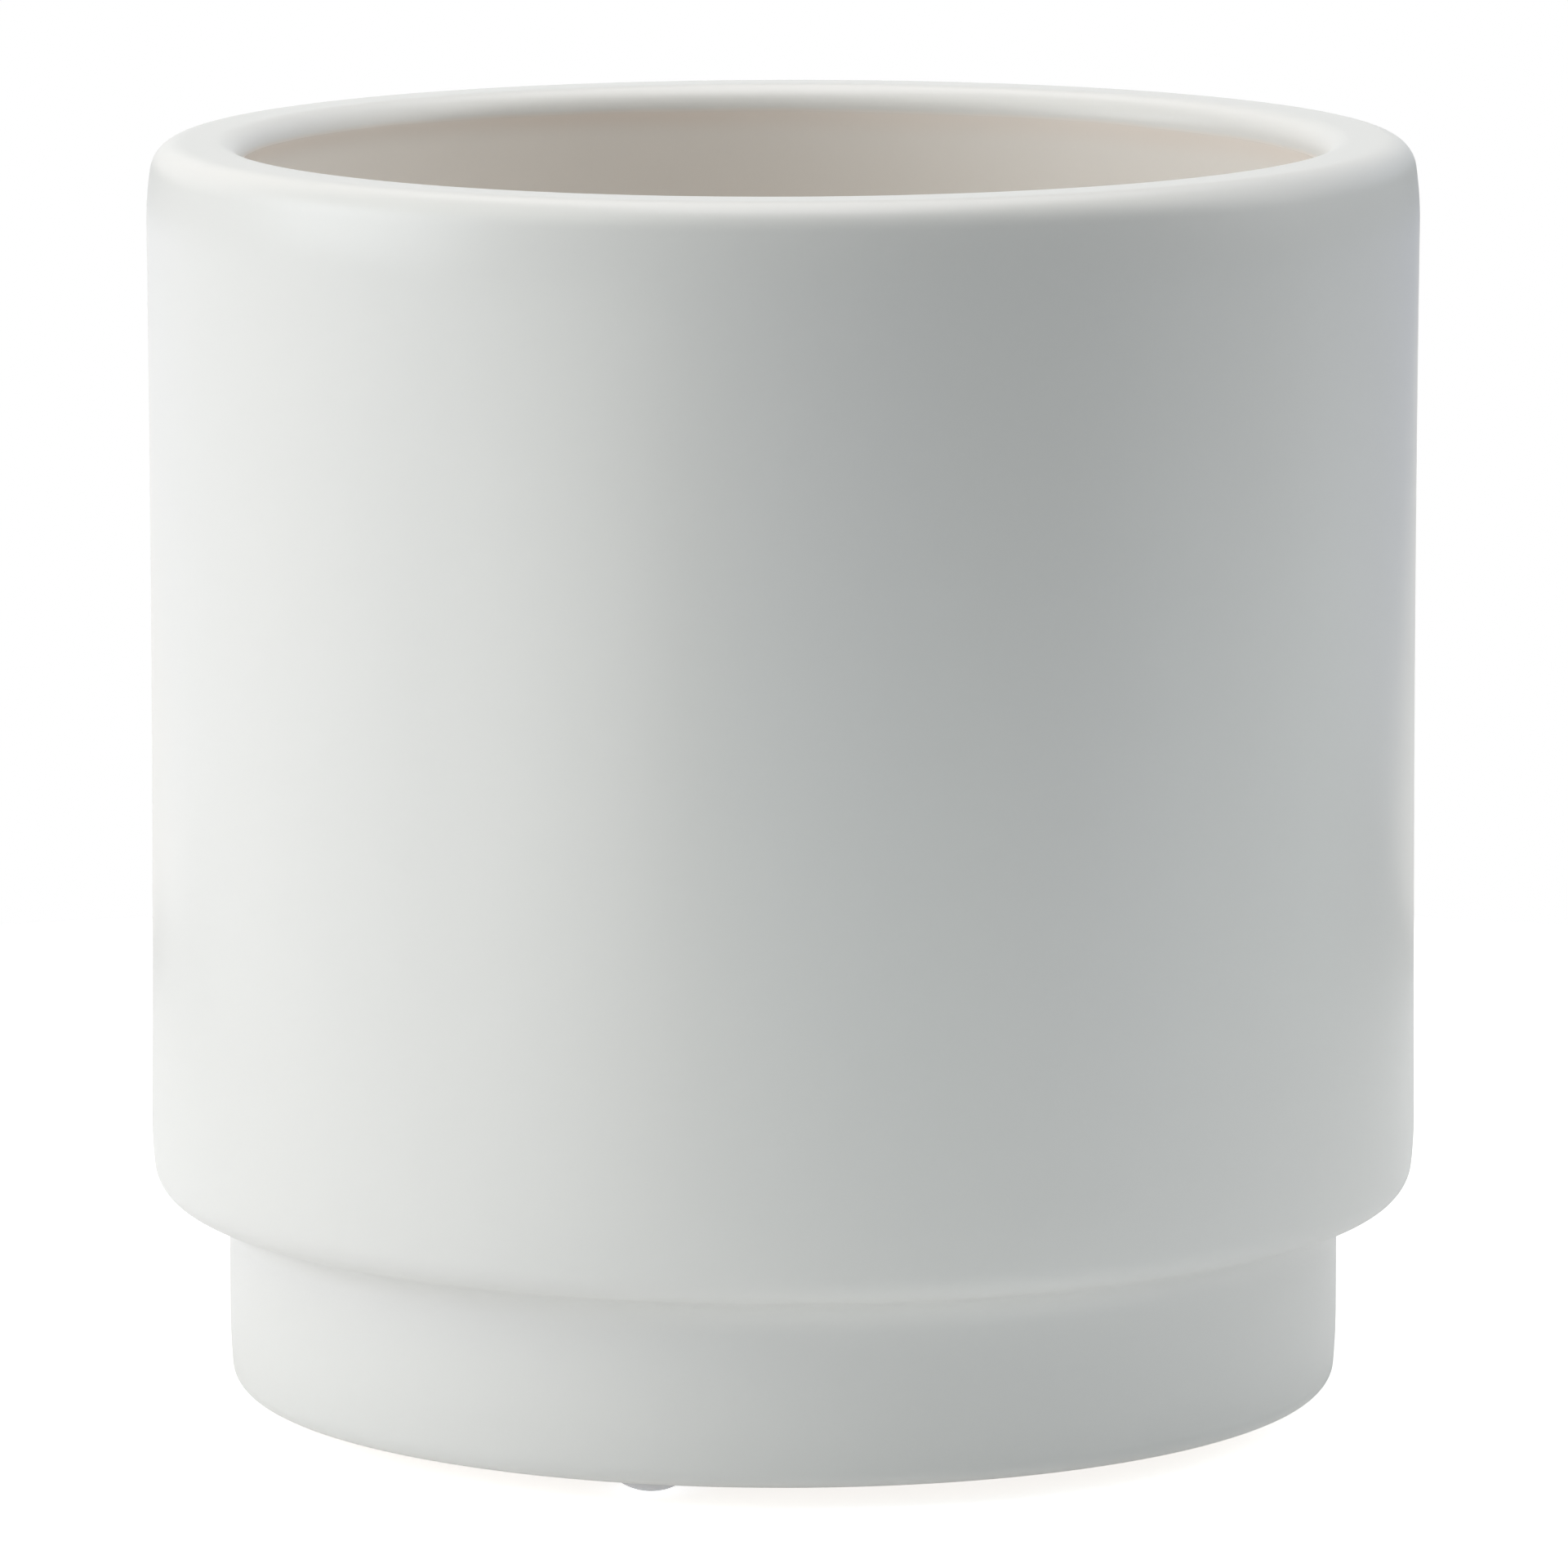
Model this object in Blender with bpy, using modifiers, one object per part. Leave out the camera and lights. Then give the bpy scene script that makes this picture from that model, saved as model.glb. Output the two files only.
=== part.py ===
"""Pen holder cup.

A squat cylindrical stoneware cup with a thick rounded rim. The body turns in
under its lower edge onto a slightly narrower cylindrical foot, and the foot
stands on four small clear domed bumpers. The cup is one fired piece; only the
bumpers are separate from it.

Frame: metres, +Z up. The origin is on the axis, on the surface that the
bumpers stand on.
"""

import math

import bpy

# ---- driving dimensions (metres) -------------------------------------------
BODY_R_TOP = 0.04796  # outer radius where the wall starts to lean in to the rim
BODY_R_MID = 0.04786  # the wall draws in very slightly at half height
BODY_R_LOW = 0.04810  # outer radius above the lower corner
CUP_HEIGHT = 0.09520  # underside of the foot to the top of the rim

BORE_R = 0.04085  # inside radius, so the wall is about 7 mm thick
RIM_EASE_R = 0.0280  # the wall leans in on a wide radius below the rim
RIM_EASE_DEG = 8.5
RIM_OUTER_ROUND = 0.0024
RIM_INNER_ROUND = 0.0019

CORNER_START = 0.02045  # height above the foot's underside where the wall starts to turn in
CORNER_EASE_R = 0.0300  # the wall first leans in on a wide radius
CORNER_EASE_DEG = 6.4
CORNER_ROUND = 0.0028  # then turns under on a tight one
CORNER_TURN_DEG = 75.0  # lean of the body's underside, from vertical
UNDER_RUN = 0.0018  # straight part of the underside, before the fillet to the foot
FOOT_R = 0.04226
FOOT_EASE_R = 0.0460
FOOT_EASE_DEG = 5.0
FOOT_LOW_ROUND = 0.0017

FLOOR_HEIGHT = 0.0090  # inside floor above the foot's underside
COVE_R = 0.0140  # inside radius between wall and floor
RECESS_R = 0.0300  # shallow recess under the foot
RECESS_DEPTH = 0.0020
RECESS_EDGE_ROUND = 0.0006
RECESS_COVE_R = 0.0012

BUMPER_COUNT = 4
BUMPER_R = 0.0032  # radius of the bumper's stuck face
BUMPER_DROP = 0.0017  # the foot's underside stands this far off the surface
BUMPER_FLAT_R = 0.0010  # the dome is flattened where it stands
BUMPER_SKIRT = 0.0003  # short straight edge below the stuck face
BUMPER_RING_R = 0.0343  # distance of each bumper from the axis
BUMPER_FIRST_DEG = -106.5  # direction of the first bumper, from +X

GAP = 0.0003  # clearance between neighbouring solids

CUP_STEPS = 72
BUMPER_STEPS = 24

BUMPER_NAMES = (
    "bumper_front_left",
    "bumper_front_right",
    "bumper_rear_right",
    "bumper_rear_left",
)


def arc(centre_r, centre_z, radius, start_deg, end_deg, pieces):
    """Points on an arc in the (r, z) half plane, both ends included."""
    points = []
    for i in range(pieces + 1):
        a = math.radians(start_deg + (end_deg - start_deg) * i / pieces)
        points.append(
            (centre_r + radius * math.cos(a), centre_z + radius * math.sin(a))
        )
    return points


def wall_radius(share):
    """Outer radius of the body at a share of its height, 0 low to 1 high."""
    chord = BODY_R_LOW + (BODY_R_TOP - BODY_R_LOW) * share
    waist = BODY_R_MID - 0.5 * (BODY_R_LOW + BODY_R_TOP)
    return chord + 4.0 * waist * share * (1.0 - share)


def eased_edge(wall_r, face_z, ease_r, ease_deg, round_r, up):
    """From a wall to a level face: a wide lean-in, then a tight round.

    up is 1 for a face above the wall and -1 for one below it. Returns the
    points from the wall to the face, and the height where the lean-in starts.
    """
    ease = math.radians(ease_deg)
    round_z = face_z - up * round_r
    start_z = round_z + up * (round_r - ease_r) * math.sin(ease)
    points = arc(wall_r - ease_r, start_z, ease_r, 0, up * ease_deg, 2)
    centre_r = points[-1][0] - round_r * math.cos(ease)
    points += arc(centre_r, round_z, round_r, up * ease_deg, up * 90, 5)[1:]
    return points, start_z


def lower_corner(low_z):
    """The turn under the body: ease, round, straight run, fillet to the foot."""
    ease = math.radians(CORNER_EASE_DEG)
    turn = math.radians(CORNER_TURN_DEG)
    points = arc(
        BODY_R_LOW - CORNER_EASE_R, low_z, CORNER_EASE_R, 0, -CORNER_EASE_DEG, 2
    )
    r, z = points[-1]
    centre_r = r - CORNER_ROUND * math.cos(ease)
    centre_z = z + CORNER_ROUND * math.sin(ease)
    points += arc(
        centre_r, centre_z, CORNER_ROUND, -CORNER_EASE_DEG, -CORNER_TURN_DEG, 6
    )[1:]
    r, z = points[-1]
    r -= UNDER_RUN * math.sin(turn)
    z -= UNDER_RUN * math.cos(turn)
    # the fillet starts along the underside and ends along the foot's wall
    fillet = (r - FOOT_R) / (1.0 - math.cos(turn))
    points += arc(
        FOOT_R + fillet, z - fillet * math.sin(turn), fillet,
        180 - CORNER_TURN_DEG, 180, 4,
    )
    return points


def cup_profile():
    """Half section of the cup: floor, bore, rim, outside, foot, underside."""
    foot_z = BUMPER_DROP
    floor_z = foot_z + FLOOR_HEIGHT
    rim_z = foot_z + CUP_HEIGHT
    recess_z = foot_z + RECESS_DEPTH

    points = [(0.0, floor_z)]
    points += arc(BORE_R - COVE_R, floor_z + COVE_R, COVE_R, -90, 0, 6)
    points += arc(
        BORE_R + RIM_INNER_ROUND, rim_z - RIM_INNER_ROUND, RIM_INNER_ROUND, 180, 90, 5
    )
    rim, high = eased_edge(
        BODY_R_TOP, rim_z, RIM_EASE_R, RIM_EASE_DEG, RIM_OUTER_ROUND, 1.0
    )
    points += reversed(rim)

    low = foot_z + CORNER_START
    for i in range(1, 4):
        share = 1.0 - i / 4
        points.append((wall_radius(share), low + (high - low) * share))

    points += lower_corner(low)
    points += eased_edge(
        FOOT_R, foot_z, FOOT_EASE_R, FOOT_EASE_DEG, FOOT_LOW_ROUND, -1.0
    )[0]
    points += arc(
        RECESS_R + RECESS_EDGE_ROUND, foot_z + RECESS_EDGE_ROUND, RECESS_EDGE_ROUND,
        -90, -180, 2,
    )
    points += arc(
        RECESS_R - RECESS_COVE_R, recess_z - RECESS_COVE_R, RECESS_COVE_R, 0, 90, 2
    )
    points.append((0.0, recess_z))
    return points


def bumper_profile():
    """Half section of one bumper, from its stuck face round to where it stands."""
    top_z = BUMPER_DROP - GAP
    dome_top = top_z - BUMPER_SKIRT
    # The dome is the arc through the skirt's lower edge and the flat's edge
    # whose tangent is level at the axis line of the flat.
    rise = dome_top
    run = BUMPER_R
    flat = BUMPER_FLAT_R
    radius = (rise * rise + run * run - flat * flat) / (2.0 * rise)
    # centre on the bumper's axis, high enough that both edges are on the arc
    centre_z = radius
    radius = math.hypot(flat, centre_z)
    start = math.degrees(math.atan2(dome_top - centre_z, run))
    end = math.degrees(math.atan2(-centre_z, flat))
    points = [(0.0, top_z), (BUMPER_R, top_z)]
    points += arc(0.0, centre_z, radius, start, end, 5)
    points.append((0.0, 0.0))
    return points


def turned(name, profile, steps, collection):
    """A closed solid turned from a half section that starts and ends on Z."""
    mesh = bpy.data.meshes.new(name)
    edges = [(i, i + 1) for i in range(len(profile) - 1)]
    mesh.from_pydata([(r, 0.0, z) for r, z in profile], edges, [])
    obj = bpy.data.objects.new(name, mesh)
    collection.objects.link(obj)
    screw = obj.modifiers.new("turn", "SCREW")
    screw.axis = "Z"
    screw.angle = 2.0 * math.pi
    screw.steps = steps
    screw.render_steps = steps
    screw.use_merge_vertices = True
    screw.merge_threshold = 0.00001
    screw.use_smooth_shade = True
    return obj


def smooth_mesh(obj, sharp_deg):
    """Applies the turning and shades the result, keeping its hard edges."""
    depsgraph = bpy.context.evaluated_depsgraph_get()
    mesh = bpy.data.meshes.new_from_object(obj.evaluated_get(depsgraph))
    obj.modifiers.clear()
    old = obj.data
    obj.data = mesh
    bpy.data.meshes.remove(old)
    mesh.name = obj.name
    mesh.shade_smooth()
    mesh.set_sharp_from_angle(angle=math.radians(sharp_deg))


def principled(name, colour, roughness, **inputs):
    """A Principled BSDF material."""
    material = bpy.data.materials.new(name)
    material.use_nodes = True
    shader = material.node_tree.nodes["Principled BSDF"]
    shader.inputs["Base Color"].default_value = (*colour, 1.0)
    shader.inputs["Roughness"].default_value = roughness
    shader.inputs["Metallic"].default_value = 0.0
    for key, value in inputs.items():
        shader.inputs[key.replace("_", " ")].default_value = value
    material.diffuse_color = (*colour, 1.0)
    material.roughness = roughness
    return material


def main():
    for obj in list(bpy.data.objects):
        bpy.data.objects.remove(obj, do_unlink=True)

    parts = bpy.data.collections.new("pen_holder_cup")
    bpy.context.scene.collection.children.link(parts)

    frame = bpy.data.objects.new("pen_holder_cup_frame", None)
    frame.empty_display_size = 0.02
    parts.objects.link(frame)

    cup = turned("cup_body", cup_profile(), CUP_STEPS, parts)
    smooth_mesh(cup, 40.0)
    cup.data.materials.append(
        principled("white_satin_stoneware", (0.80, 0.80, 0.78), 0.35)
    )
    cup.parent = frame

    clear = principled(
        "clear_bumper", (0.86, 0.87, 0.87), 0.12, Transmission_Weight=0.8, IOR=1.48
    )
    shared = None
    for i, name in enumerate(BUMPER_NAMES[:BUMPER_COUNT]):
        if shared is None:
            bumper = turned(name, bumper_profile(), BUMPER_STEPS, parts)
            smooth_mesh(bumper, 50.0)
            bumper.data.materials.append(clear)
            shared = bumper.data
            shared.name = "bumper"
        else:
            bumper = bpy.data.objects.new(name, shared)
            parts.objects.link(bumper)
        turn = math.radians(BUMPER_FIRST_DEG + 360.0 * i / BUMPER_COUNT)
        bumper.location = (
            BUMPER_RING_R * math.cos(turn),
            BUMPER_RING_R * math.sin(turn),
            0.0,
        )
        bumper.rotation_euler = (0.0, 0.0, turn)
        bumper.parent = frame


main()
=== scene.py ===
import math

import bpy
import bmesh
import numpy as np
from mathutils import Matrix, Vector, noise


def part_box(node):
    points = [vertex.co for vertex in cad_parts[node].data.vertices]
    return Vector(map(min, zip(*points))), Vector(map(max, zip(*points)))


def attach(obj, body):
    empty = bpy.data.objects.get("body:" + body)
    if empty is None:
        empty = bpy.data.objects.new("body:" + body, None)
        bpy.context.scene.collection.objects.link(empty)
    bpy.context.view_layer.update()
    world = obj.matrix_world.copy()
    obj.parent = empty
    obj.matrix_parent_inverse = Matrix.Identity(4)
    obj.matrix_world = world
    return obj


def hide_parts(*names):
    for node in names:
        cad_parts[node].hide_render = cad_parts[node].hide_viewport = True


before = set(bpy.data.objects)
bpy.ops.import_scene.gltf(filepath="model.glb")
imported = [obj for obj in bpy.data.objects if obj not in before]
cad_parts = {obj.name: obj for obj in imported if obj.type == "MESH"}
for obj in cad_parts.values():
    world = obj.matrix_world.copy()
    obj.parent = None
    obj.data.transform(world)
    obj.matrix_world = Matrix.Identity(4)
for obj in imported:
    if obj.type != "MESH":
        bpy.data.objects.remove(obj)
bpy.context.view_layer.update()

MM = 0.001

# ---- the cup's section, in millimetres from the surface it stands on --------
FOOT_Z = 1.7
RIM_Z = FOOT_Z + 95.2
BODY_R_TOP, BODY_R_MID, BODY_R_LOW = 47.96, 47.86, 48.10
BORE_R = 40.85
RIM_OUT, RIM_IN = 2.4, 1.9
RIM_EASE_R, RIM_EASE_DEG = 28.0, 8.5  # the wall leans in below the rim
CORNER_Z = FOOT_Z + 20.45  # where the wall starts to turn in
EASE_R, EASE_DEG = 30.0, 6.4  # first on a wide radius
CORNER_R, CORNER_DEG = 2.8, 75.0  # then on a tight one, to this lean
UNDER_RUN = 1.8  # straight part of the underside, before the fillet to the foot
FOOT_R = 42.26
FOOT_ROUND = 1.7
FOOT_EASE_R, FOOT_EASE_DEG = 46.0, 5.0
FLOOR_Z = FOOT_Z + 9.0
COVE_R = 14.0
RECESS_R, RECESS_DEPTH, RECESS_EDGE, RECESS_COVE = 30.0, 2.0, 0.6, 1.2
SEGMENTS = 384


def arc(cr, cz, radius, a0, a1, n):
    """Points on an arc of the half section, both ends included."""
    out = []
    for i in range(n + 1):
        a = math.radians(a0 + (a1 - a0) * i / n)
        out.append((cr + radius * math.cos(a), cz + radius * math.sin(a)))
    return out


def wall_r(share):
    chord = BODY_R_LOW + (BODY_R_TOP - BODY_R_LOW) * share
    waist = BODY_R_MID - 0.5 * (BODY_R_LOW + BODY_R_TOP)
    return chord + 4.0 * waist * share * (1.0 - share)


def line(p, q, n):
    """Points after p up to q."""
    return [(p[0] + (q[0] - p[0]) * i / n, p[1] + (q[1] - p[1]) * i / n) for i in range(1, n + 1)]


def eased_edge(wall, face_z, ease_r, ease_deg, round_r, up):
    """From a wall to a level face above (up 1) or below it (up -1): a wide
    lean-in, then a tight round. Also the height where the lean-in starts."""
    ease = math.radians(ease_deg)
    round_z = face_z - up * round_r
    start_z = round_z + up * (round_r - ease_r) * math.sin(ease)
    out = arc(wall - ease_r, start_z, ease_r, 0, up * ease_deg, 8)
    centre = out[-1][0] - round_r * math.cos(ease)
    out += arc(centre, round_z, round_r, up * ease_deg, up * 90, 14)[1:]
    return out, start_z


def cup_section():
    """Half section from the inside floor up the bore, over the rim, down the
    outside, round under the body, down the foot and in under it."""
    pts = [(0.6, FLOOR_Z)]
    pts += line(pts[-1], (BORE_R - COVE_R, FLOOR_Z), 16)
    pts += arc(BORE_R - COVE_R, FLOOR_Z + COVE_R, COVE_R, -90, 0, 20)[1:]
    pts += line(pts[-1], (BORE_R, RIM_Z - RIM_IN - 10), 14)
    pts += line(pts[-1], (BORE_R, RIM_Z - RIM_IN), 10)
    pts += arc(BORE_R + RIM_IN, RIM_Z - RIM_IN, RIM_IN, 180, 90, 12)[1:]
    rim, high = eased_edge(BODY_R_TOP, RIM_Z, RIM_EASE_R, RIM_EASE_DEG, RIM_OUT, 1)
    pts += line(pts[-1], rim[-1], 6)
    pts += rim[-2::-1]
    low = CORNER_Z
    n = 40
    for i in range(1, n + 1):
        s = 1.0 - i / n
        pts.append((wall_r(s), low + (high - low) * s))
    pts += arc(BODY_R_LOW - EASE_R, low, EASE_R, 0, -EASE_DEG, 8)[1:]
    ease, turn = math.radians(EASE_DEG), math.radians(CORNER_DEG)
    r0, z0 = pts[-1]
    pts += arc(r0 - CORNER_R * math.cos(ease), z0 + CORNER_R * math.sin(ease), CORNER_R,
               -EASE_DEG, -CORNER_DEG, 18)[1:]
    r0, z0 = pts[-1]
    pts += line(pts[-1], (r0 - UNDER_RUN * math.sin(turn), z0 - UNDER_RUN * math.cos(turn)), 4)
    # fillet: tangent to the underside and to the foot's wall
    r0, z0 = pts[-1]
    fillet = (r0 - FOOT_R) / (1.0 - math.cos(turn))
    pts += arc(FOOT_R + fillet, z0 - fillet * math.sin(turn), fillet, 180 - CORNER_DEG, 180, 14)[1:]
    foot, ease_z = eased_edge(FOOT_R, FOOT_Z, FOOT_EASE_R, FOOT_EASE_DEG, FOOT_ROUND, -1)
    pts += line(pts[-1], (FOOT_R, ease_z), 6)
    pts += foot[1:]
    pts += line(pts[-1], (RECESS_R + RECESS_EDGE, FOOT_Z), 10)
    pts += arc(RECESS_R + RECESS_EDGE, FOOT_Z + RECESS_EDGE, RECESS_EDGE, -90, -180, 4)[1:]
    top = FOOT_Z + RECESS_DEPTH
    pts += line(pts[-1], (RECESS_R, top - RECESS_COVE), 1)
    pts += arc(RECESS_R - RECESS_COVE, top - RECESS_COVE, RECESS_COVE, 0, 90, 4)[1:]
    pts += line(pts[-1], (0.6, top), 16)
    return pts


def turned(name, section, segments, wobble=None):
    """A closed smooth mesh turned about Z from a half section that runs from
    near the axis, over the outside and back to near the axis."""
    bm = bmesh.new()
    rings = []
    for r, z in section:
        ring = []
        for k in range(segments):
            a = 2.0 * math.pi * k / segments
            rr, zz = (r, z) if wobble is None else wobble(r, z, a)
            ring.append(bm.verts.new((rr * math.cos(a) * MM, rr * math.sin(a) * MM, zz * MM)))
        rings.append(ring)
    for low, high in zip(rings, rings[1:]):
        for k in range(segments):
            j = (k + 1) % segments
            bm.faces.new((low[k], low[j], high[j], high[k]))
    for ring, z in ((rings[0], section[0][1]), (rings[-1], section[-1][1])):
        hub = bm.verts.new((0.0, 0.0, z * MM))
        for k in range(segments):
            j = (k + 1) % segments
            if ring is rings[0]:
                bm.faces.new((hub, ring[j], ring[k]))
            else:
                bm.faces.new((hub, ring[k], ring[j]))
    bmesh.ops.recalc_face_normals(bm, faces=bm.faces)
    mesh = bpy.data.meshes.new(name)
    bm.to_mesh(mesh)
    bm.free()
    mesh.shade_smooth()
    obj = bpy.data.objects.new(name, mesh)
    bpy.context.scene.collection.objects.link(obj)
    return obj


def cup_wobble(r, z, a):
    """The fired cup is not perfectly true: the wall and rim drift by a few
    hundredths of a millimetre, inwards of the design size."""
    if r < 5.0:
        return r, z
    d = Vector((math.cos(a), math.sin(a), z / 60.0))
    n = noise.noise(d * 1.3 + Vector((3.1, 0.7, 9.2)))
    m = noise.noise(d * 4.0 + Vector((11.0, 5.0, 2.0)))
    dr = 0.022 * n + 0.008 * m - 0.022
    # the rim settled a little lower on the left
    near_rim = max(0.0, min(1.0, (z - (RIM_Z - 9.0)) / 7.0))
    dip = 0.02 * noise.noise(Vector((math.cos(a), math.sin(a), 4.4)) * 1.7)
    dz = near_rim * (0.11 * math.cos(a) + dip - 0.125)
    return r + dr * min(1.0, r / 40.0), z + dz


# ---- node helpers -----------------------------------------------------------
class Nodes:
    """Small helper for building a shader tree."""

    def __init__(self, material):
        material.use_nodes = True
        self.tree = material.node_tree
        self.tree.nodes.clear()
        self.out = self.add("ShaderNodeOutputMaterial")

    def add(self, kind, **settings):
        node = self.tree.nodes.new(kind)
        for key, value in settings.items():
            setattr(node, key, value)
        return node

    def link(self, a, b):
        self.tree.links.new(a, b)

    def value(self, socket, v):
        if isinstance(v, bpy.types.NodeSocket):
            self.link(v, socket)
        else:
            socket.default_value = v

    def math(self, op, a, b=None, c=None, clamp=False):
        node = self.add("ShaderNodeMath", operation=op, use_clamp=clamp)
        self.value(node.inputs[0], a)
        if b is not None:
            self.value(node.inputs[1], b)
        if c is not None:
            self.value(node.inputs[2], c)
        return node.outputs[0]

    def ramp(self, v, lo, hi, a=0.0, b=1.0, smooth=True):
        node = self.add("ShaderNodeMapRange", interpolation_type="SMOOTHSTEP" if smooth else "LINEAR")
        self.value(node.inputs[0], v)
        node.inputs[1].default_value = lo
        node.inputs[2].default_value = hi
        node.inputs[3].default_value = a
        node.inputs[4].default_value = b
        return node.outputs[0]

    def mix(self, fac, a, b):
        node = self.add("ShaderNodeMix", data_type="RGBA", clamp_factor=True)
        self.value(node.inputs[0], fac)
        self.value(node.inputs[6], a if isinstance(a, bpy.types.NodeSocket) else (*a, 1.0))
        self.value(node.inputs[7], b if isinstance(b, bpy.types.NodeSocket) else (*b, 1.0))
        return node.outputs[2]

    def noise(self, vector, scale, detail=2.0, rough=0.5, offset=(0, 0, 0)):
        mapping = self.add("ShaderNodeMapping")
        mapping.inputs["Location"].default_value = offset
        self.link(vector, mapping.inputs["Vector"])
        node = self.add("ShaderNodeTexNoise")
        self.link(mapping.outputs[0], node.inputs["Vector"])
        node.inputs["Scale"].default_value = scale
        node.inputs["Detail"].default_value = detail
        node.inputs["Roughness"].default_value = rough
        return node.outputs["Fac"]


def srgb(r, g, b):
    """Linear colour from 8-bit sRGB values."""
    def f(v):
        v /= 255.0
        return v / 12.92 if v <= 0.04045 else ((v + 0.055) / 1.055) ** 2.4
    return (f(r), f(g), f(b))


def stoneware():
    """White satin glaze outside and over the rim, a thinner glossier glaze over
    the warm clay inside, and bare clay under the foot."""
    material = bpy.data.materials.new("glazed_stoneware")
    n = Nodes(material)
    coord = n.add("ShaderNodeTexCoord").outputs["Object"]
    parts = n.add("ShaderNodeSeparateXYZ")
    n.link(coord, parts.inputs[0])
    x, y, z = parts.outputs
    radius = n.math("SQRT", n.math("ADD", n.math("MULTIPLY", x, x), n.math("MULTIPLY", y, y)))

    # slow drifts along the wall, in metres
    drift = n.noise(coord, 38.0, 1.0, 0.4, (0.21, 0.4, 0.0))
    cloud = n.noise(coord, 95.0, 1.0, 0.4, (1.3, 0.1, 0.6))
    fine = n.noise(coord, 1400.0, 2.0, 0.6, (0.7, 0.2, 0.1))

    # inside: below the line where the white glaze stops, a little wavy
    # it was dipped at a slight lean, so the line sits lower on the +X side
    line_z = n.math("ADD", (RIM_Z - 2.0) * MM, n.math("MULTIPLY", n.math("SUBTRACT", cloud, 0.5), 0.00035))
    line_z = n.math("SUBTRACT", line_z, n.math("MULTIPLY", x, 0.0055))
    below = n.math("SUBTRACT", line_z, z)
    within = n.math("LESS_THAN", radius, (BORE_R + 1.2) * MM)
    inside = n.math("MULTIPLY", within, n.ramp(below, -0.00025, 0.00035))
    above_foot = n.math("GREATER_THAN", z, (FOOT_Z + 5.0) * MM)
    inside = n.math("MULTIPLY", inside, above_foot)

    # bare clay under the foot
    bare_line = n.math("ADD", (FOOT_R - 2.3) * MM, n.math("MULTIPLY", n.math("SUBTRACT", cloud, 0.5), 0.0016))
    bare = n.ramp(n.math("SUBTRACT", bare_line, radius), -0.00008, 0.00012)
    bare = n.math("MULTIPLY", bare, n.math("LESS_THAN", z, (FOOT_Z + 4.0) * MM))

    white = n.mix(n.ramp(drift, 0.25, 0.75), (0.806, 0.806, 0.791), (0.812, 0.809, 0.793))
    white = n.mix(n.ramp(cloud, 0.2, 0.8, 0.0, 0.3), white, (0.803, 0.802, 0.787))
    warm_thin = (0.835, 0.755, 0.690)
    warm_deep = (0.850, 0.812, 0.770)
    depth = n.ramp(below, 0.0004, 0.0024)
    warm = n.mix(depth, warm_thin, warm_deep)
    warm = n.mix(n.ramp(drift, 0.35, 0.7, 0.0, 0.4), warm, (0.845, 0.808, 0.767))
    # painted light: the deep inside is a little paler toward -X, standing in for light falling on that side of the
    # bore
    painted_light_left_inside = n.math("MULTIPLY", depth, n.ramp(x, -0.034, 0.016, 1.0, 0.0))
    warm = n.mix(painted_light_left_inside, warm, (0.908, 0.868, 0.823))
    clay = n.mix(cloud, (0.60, 0.53, 0.44), (0.68, 0.61, 0.52))

    # sparse pinholes in the glaze
    cells = n.add("ShaderNodeTexVoronoi", feature="F1", distance="EUCLIDEAN")
    n.link(coord, cells.inputs["Vector"])
    cells.inputs["Scale"].default_value = 110.0
    cells.inputs["Randomness"].default_value = 1.0
    pick = n.add("ShaderNodeSeparateColor")
    n.link(cells.outputs["Color"], pick.inputs[0])
    chosen = n.math("GREATER_THAN", pick.outputs[0], 0.93)
    size = n.math("MULTIPLY", pick.outputs[1], 0.014)
    dot = n.math("LESS_THAN", cells.outputs["Distance"], n.math("ADD", size, 0.006))
    pin = n.math("MULTIPLY", chosen, dot)

    colour = n.mix(inside, white, warm)
    colour = n.mix(bare, colour, clay)
    colour = n.mix(n.math("MULTIPLY", pin, 0.55), colour, (0.30, 0.28, 0.26))

    rough_out = n.ramp(cloud, 0.2, 0.8, 0.278, 0.292)
    rough_in = n.ramp(cloud, 0.2, 0.8, 0.225, 0.245)
    # the glaze thins over the rim and is a little more matt there
    rim_zone = n.ramp(z, (RIM_Z - 7.0) * MM, (RIM_Z - 2.2) * MM)
    rough = n.math("ADD", rough_out, n.math("MULTIPLY", rim_zone, 0.09))
    mixer = n.add("ShaderNodeMix", data_type="FLOAT", clamp_factor=True)
    n.link(inside, mixer.inputs[0]); n.link(rough, mixer.inputs[2]); n.link(rough_in, mixer.inputs[3])
    mixer2 = n.add("ShaderNodeMix", data_type="FLOAT", clamp_factor=True)
    n.link(bare, mixer2.inputs[0]); n.link(mixer.outputs[0], mixer2.inputs[2]); mixer2.inputs[3].default_value = 0.85

    height = n.math("ADD", n.math("MULTIPLY", cloud, 0.000014), n.math("MULTIPLY", fine, 0.0000022))
    height = n.math("SUBTRACT", height, n.math("MULTIPLY", pin, 0.00008))
    grit = n.noise(coord, 2600.0, 3.0, 0.7, (0.3, 0.9, 0.4))
    height = n.math("ADD", height, n.math("MULTIPLY", n.math("MULTIPLY", grit, bare), 0.00008))
    bump = n.add("ShaderNodeBump")
    bump.inputs["Strength"].default_value = 0.35
    bump.inputs["Distance"].default_value = 1.0
    n.link(height, bump.inputs["Height"])

    shader = n.add("ShaderNodeBsdfPrincipled")
    n.link(colour, shader.inputs["Base Color"])
    n.link(mixer2.outputs[0], shader.inputs["Roughness"])
    n.link(bump.outputs[0], shader.inputs["Normal"])
    shader.inputs["IOR"].default_value = 1.5
    n.link(shader.outputs[0], n.out.inputs["Surface"])
    return material


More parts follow.
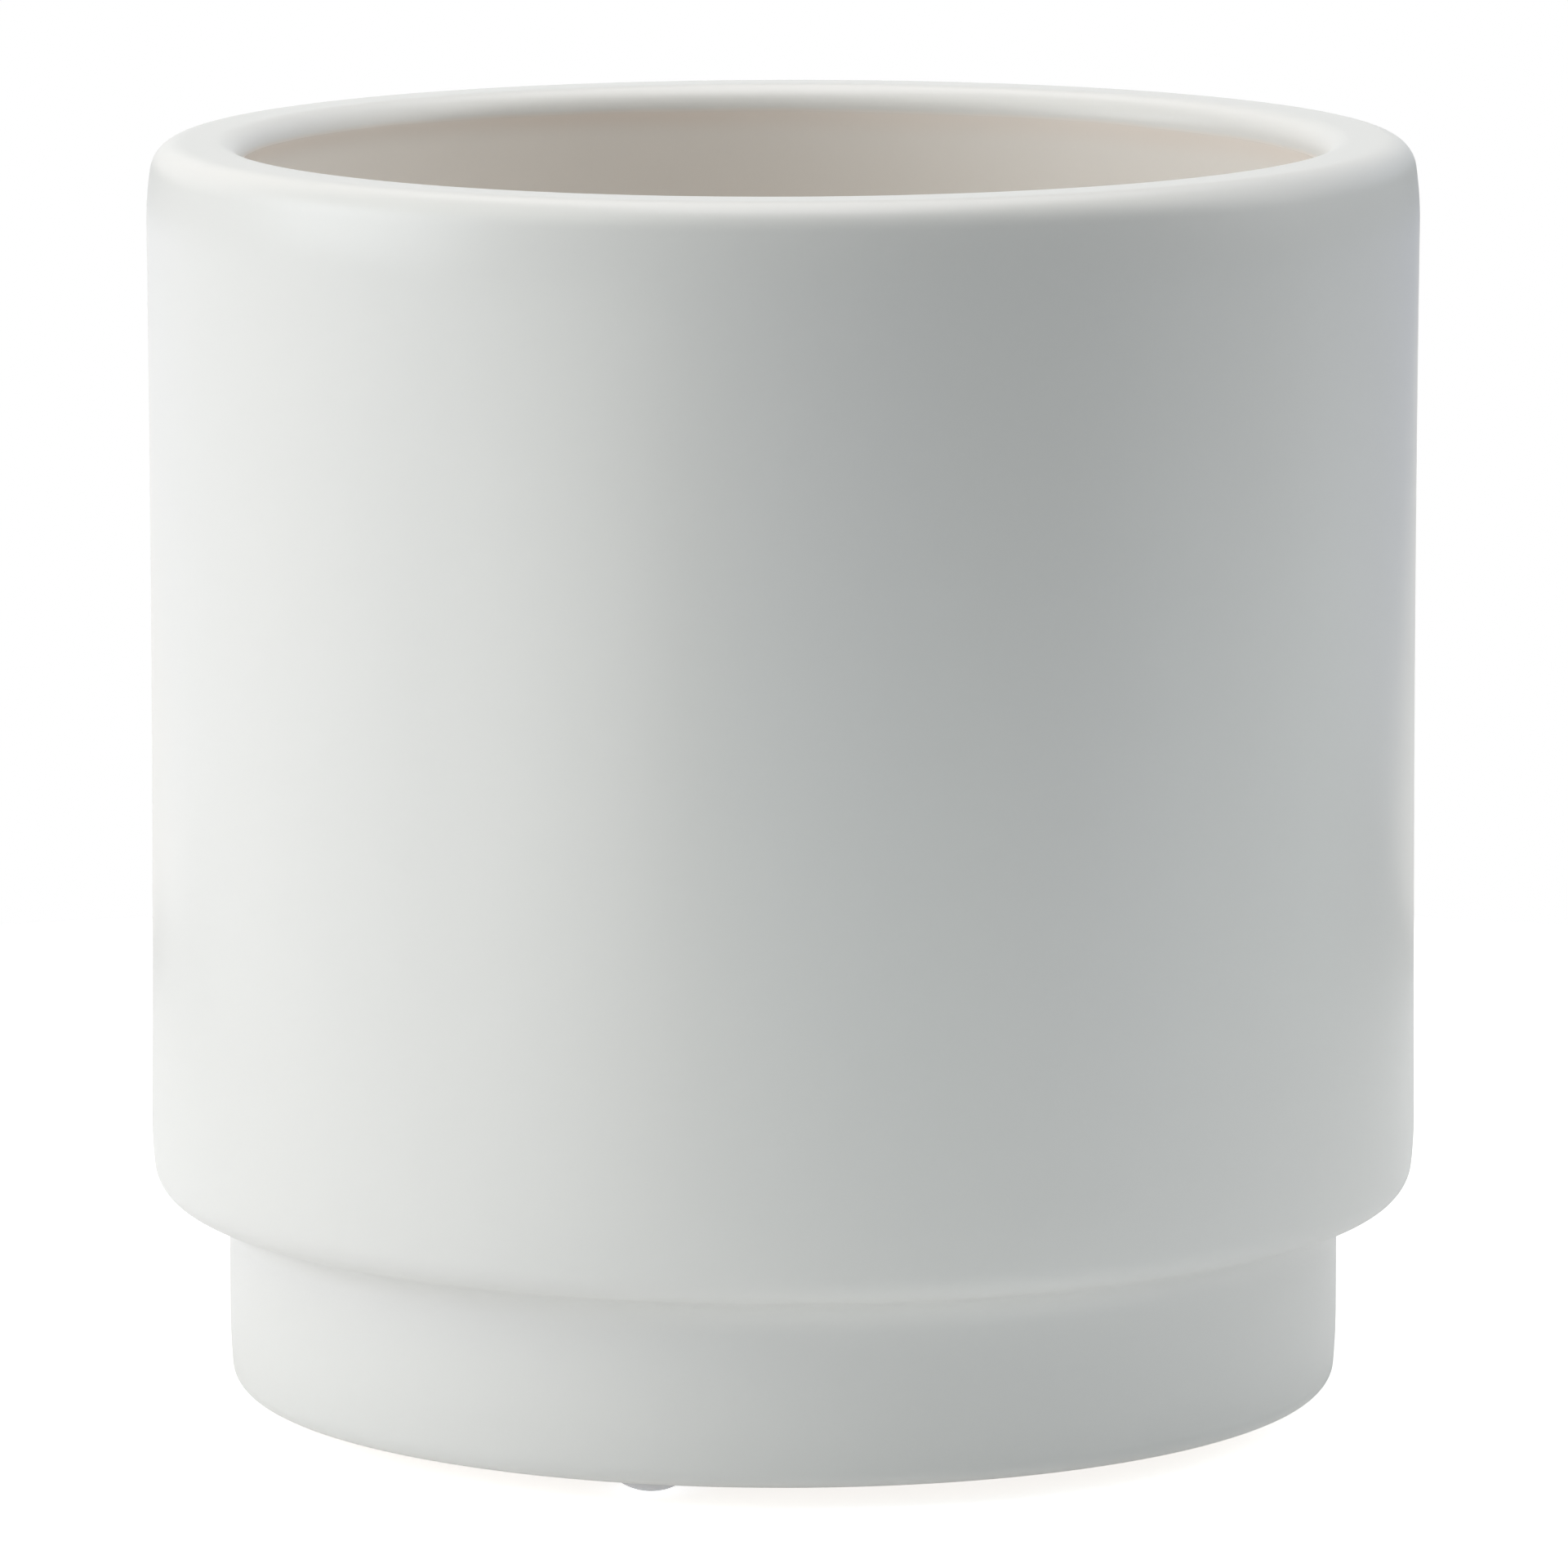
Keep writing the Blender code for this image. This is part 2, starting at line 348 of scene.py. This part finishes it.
def clear_rubber():
    """Clear soft bumper: slightly cloudy, with a smooth skin."""
    material = bpy.data.materials.new("clear_bumper")
    n = Nodes(material)
    coord = n.add("ShaderNodeTexCoord").outputs["Object"]
    haze = n.noise(coord, 900.0, 2.0, 0.5)
    shader = n.add("ShaderNodeBsdfPrincipled")
    n.link(n.mix(haze, (0.84, 0.85, 0.86), (0.90, 0.905, 0.91)), shader.inputs["Base Color"])
    n.link(n.ramp(haze, 0.3, 0.7, 0.10, 0.18), shader.inputs["Roughness"])
    shader.inputs["Transmission Weight"].default_value = 0.3
    # painted glow: a faint emission keeps the bumper pale in the shade under the foot
    shader.inputs["Emission Color"].default_value = (0.94, 0.96, 1.0, 1.0)
    shader.inputs["Emission Strength"].default_value = 0.05
    shader.inputs["IOR"].default_value = 1.48
    n.link(shader.outputs[0], n.out.inputs["Surface"])
    return material


# ---- the cup ----------------------------------------------------------------
glaze = stoneware()
cup = turned("cup_body_fired", cup_section(), SEGMENTS, cup_wobble)
cup.data.materials.append(glaze)
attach(cup, "root")
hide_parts("cup_body")

# ---- the bumpers ------------------------------------------------------------
rubber = clear_rubber()


def bumper_section():
    """Half section of a domed bumper in millimetres: stuck face, short skirt,
    dome, and the small flat that it stands on."""
    top, radius, flat, skirt = FOOT_Z - 0.02, 3.2, 1.0, 0.35
    dome = top - skirt
    centre = (dome * dome + radius * radius - flat * flat) / (2.0 * dome)
    big = math.hypot(flat, centre)
    start = math.degrees(math.atan2(dome - centre, math.sqrt(big * big - (dome - centre) ** 2)))
    end = math.degrees(math.atan2(-centre, flat))
    edge = math.sqrt(big * big - (dome - centre) ** 2)
    pts = [(0.2, top), (edge - 0.12, top), (edge, top - 0.08)]
    pts += arc(0.0, centre, big, start, end, 16)
    pts += [(flat * 0.5, 0.0), (0.2, 0.0)]
    return pts


for name in ("front_left", "front_right", "rear_right", "rear_left"):
    node = "bumper_" + name
    low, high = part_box(node)
    piece = turned(node + "_clear", bumper_section(), 64)
    centre = Vector(((low[0] + high[0]) / 2.0, (low[1] + high[1]) / 2.0, 0.0))
    piece.data.transform(Matrix.Translation(centre))
    piece.data.materials.append(rubber)
    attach(piece, "root")
    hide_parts(node)

# ---- floor, light and camera ------------------------------------------------
def plain_floor():
    """A white sheet that bounces light near the cup, on a pale floor that goes
    on in every direction but leaves the light alone."""
    mesh = bpy.data.meshes.new("studio_floor")
    grid = bmesh.new()
    bmesh.ops.create_grid(grid, x_segments=1, y_segments=1, size=3.0)
    grid.to_mesh(mesh)
    grid.free()
    obj = bpy.data.objects.new("studio_floor", mesh)
    bpy.context.scene.collection.objects.link(obj)
    material = bpy.data.materials.new("studio_floor")
    n = Nodes(material)
    path = n.add("ShaderNodeLightPath").outputs["Is Camera Ray"]
    coord = n.add("ShaderNodeTexCoord").outputs["Object"]
    length = n.add("ShaderNodeVectorMath", operation="LENGTH")
    n.link(coord, length.inputs[0])
    near = n.ramp(length.outputs["Value"], 0.21, 0.23, 1.0, 0.0)
    sheet = n.add("ShaderNodeBsdfDiffuse")
    sheet.inputs["Color"].default_value = (0.89, 0.89, 0.89, 1.0)
    away = n.add("ShaderNodeBsdfTransparent")
    blocked = n.math("SUBTRACT", 1.0, path)
    n.link(blocked, away.inputs["Color"])
    bounce = n.add("ShaderNodeMixShader")
    n.link(near, bounce.inputs[0])
    n.link(away.outputs[0], bounce.inputs[1])
    n.link(sheet.outputs[0], bounce.inputs[2])
    # a lit patch of table under the foot, which keeps its lower edge bright
    patch = n.add("ShaderNodeEmission")
    n.link(n.ramp(length.outputs["Value"], 0.0425, 0.0445, 0.18, 0.0), patch.inputs["Strength"])
    n.link(blocked, patch.inputs["Color"])
    lit = n.add("ShaderNodeAddShader")
    n.link(bounce.outputs[0], lit.inputs[0])
    n.link(patch.outputs[0], lit.inputs[1])
    # what the camera sees: pale, with only a faint shadow near the cup
    seen = n.add("ShaderNodeEmission")
    n.link(n.ramp(length.outputs["Value"], 0.05, 0.20, 0.74, 1.0), seen.inputs["Strength"])
    n.link(n.math("MULTIPLY", path, 1.0), seen.inputs["Color"])
    both = n.add("ShaderNodeAddShader")
    n.link(lit.outputs[0], both.inputs[0])
    n.link(seen.outputs[0], both.inputs[1])
    n.link(both.outputs[0], n.out.inputs["Surface"])
    mesh.materials.append(material)
    return obj


def studio_world(fill):
    """Even dim light from the room, and a pale backdrop."""
    world = bpy.data.worlds.new("studio")
    bpy.context.scene.world = world
    world.use_nodes = True
    tree = world.node_tree
    tree.nodes.clear()
    out = tree.nodes.new("ShaderNodeOutputWorld")
    mix = tree.nodes.new("ShaderNodeMixShader")
    path = tree.nodes.new("ShaderNodeLightPath")
    room = tree.nodes.new("ShaderNodeBackground")
    room.inputs[0].default_value = (*fill, 1.0)
    room.inputs[1].default_value = 1.0
    seen = tree.nodes.new("ShaderNodeBackground")
    seen.inputs[0].default_value = (1.0, 1.0, 1.0, 1.0)
    seen.inputs[1].default_value = 1.0
    tree.links.new(path.outputs["Is Camera Ray"], mix.inputs[0])
    tree.links.new(room.outputs[0], mix.inputs[1])
    tree.links.new(seen.outputs[0], mix.inputs[2])
    tree.links.new(mix.outputs[0], out.inputs[0])


AIM = Vector((0.0, 0.0, 0.05))


def soft_light(name, place, target, width, height, radiance):
    """A rectangular soft light of an even radiance."""
    lamp = bpy.data.lights.new(name, "AREA")
    lamp.shape = "RECTANGLE"
    lamp.size, lamp.size_y = width, height
    peak = max(radiance)
    lamp.energy = math.pi * width * height * peak
    lamp.color = tuple(v / peak for v in radiance)
    holder = bpy.data.objects.new(name, lamp)
    holder.location = place
    holder.rotation_euler = (target - place).to_track_quat("-Z", "Y").to_euler()
    holder.visible_camera = False
    bpy.context.scene.collection.objects.link(holder)


# name, azimuth (0 is the camera's side, positive to its right), elevation,
# distance, width, height in degrees and metres, and radiance
SOFTBOXES = (
    ("key", -80, 16, 0.90, 0.70, 0.45, (3.38, 3.46, 3.56)),
    ("key_high", -62, 48, 0.90, 0.80, 0.45, (1.63, 1.66, 1.48)),
    ("top", 0, 88, 0.90, 0.50, 0.50, (3.19, 3.06, 3.13)),
    ("top_back", 180, 62, 0.90, 0.70, 0.40, (1.76, 1.70, 1.67)),
    ("top_right", 100, 62, 0.90, 0.60, 0.40, (0.86, 0.88, 0.76)),
    ("fill_right", 98, 30, 0.90, 0.50, 0.80, (1.53, 1.55, 1.53)),
    ("back_right", 140, 30, 0.90, 0.60, 0.80, (0.25, 0.30, 0.38)),
    ("back_left", -145, 30, 0.90, 0.60, 0.80, (0.63, 0.59, 0.57)),
    ("back", 180, 12, 0.90, 0.60, 0.40, (0.57, 0.60, 0.62)),
    # low bounce cards standing just outside the picture
    ("card_front", 8, -5, 0.25, 0.16, 0.05, (0.02, 0.04, 0.25)),
    ("card_front_left", -38, -5, 0.25, 0.16, 0.05, (1.17, 1.11, 1.08)),
    ("card_right", 88, -5, 0.25, 0.16, 0.05, (0.10, 0.05, 0.08)),
    ("card_mid_right", 55, -4.8, 0.18, 0.14, 0.05, (0.02, 0.02, 0.02)),
    ("card_near_left", -30, -6.6, 0.13, 0.10, 0.04, (0.02, 0.02, 0.02)),
    ("card_near_front", 10, -6.6, 0.13, 0.10, 0.04, (0.12, 0.19, 0.13)),
    ("card_near_right", 45, -6.6, 0.13, 0.10, 0.04, (0.15, 0.15, 0.20)),
    ("card_near_side", 80, -6.6, 0.13, 0.10, 0.04, (0.05, 0.12, 0.09)),
)
# the floor round the sheet, lit by the same lights: name, x, y, width, depth, radiance
FLOOR_GLOWS = (
    ("glow_left", -0.49, -0.05, 0.54, 0.50, (1.02, 0.98, 1.00)),
    ("glow_front_left", -0.36, -0.42, 0.36, 0.36, (0.97, 1.06, 0.97)),
    ("glow_right", 0.50, 0.0, 0.40, 0.50, (0.67, 0.74, 0.78)),
    ("glow_corner", -0.188, 0.185, 0.064, 0.06, (0.92, 0.90, 0.91)),
    ("glow_back", 0.0, 0.5975, 0.44, 0.805, (0.84, 0.81, 0.78)),
    ("glow_back_left", -0.61, 0.60, 0.78, 0.80, (0.79, 0.79, 0.82)),
    ("glow_back_right", 0.61, 0.60, 0.78, 0.80, (0.32, 0.33, 0.42)),
)
plain_floor()
studio_world((0.114, 0.123, 0.126))
for name, azimuth, elevation, distance, width, height, radiance in SOFTBOXES:
    a, e = math.radians(azimuth), math.radians(elevation)
    offset = Vector((math.sin(a) * math.cos(e), -math.cos(a) * math.cos(e), math.sin(e)))
    soft_light(name, AIM + distance * offset, AIM, width, height, radiance)
for name, x, y, width, depth, radiance in FLOOR_GLOWS:
    place = Vector((x, y, 0.002))
    soft_light(name, place, place + Vector((0.0, 0.0, 1.0)), width, depth, radiance)

CAMERA_DISTANCE = 0.8812
CAMERA_HEIGHT = 0.18525
CAMERA_PITCH = 0.1551
camera_data = bpy.data.cameras.new("camera")
camera_data.sensor_width = 36.0
camera_data.lens = 269.6
camera_data.clip_start = 0.01
camera_data.clip_end = 20.0
camera = bpy.data.objects.new("camera", camera_data)
camera.location = (0.00006, -CAMERA_DISTANCE, CAMERA_HEIGHT)
camera.rotation_euler = (math.pi / 2.0 - CAMERA_PITCH, 0.0, 0.0)
bpy.context.scene.collection.objects.link(camera)
bpy.context.scene.camera = camera

view = bpy.context.scene.view_settings
view.view_transform = "Standard"
view.look = "None"
view.exposure = 0.0
view.gamma = 1.0
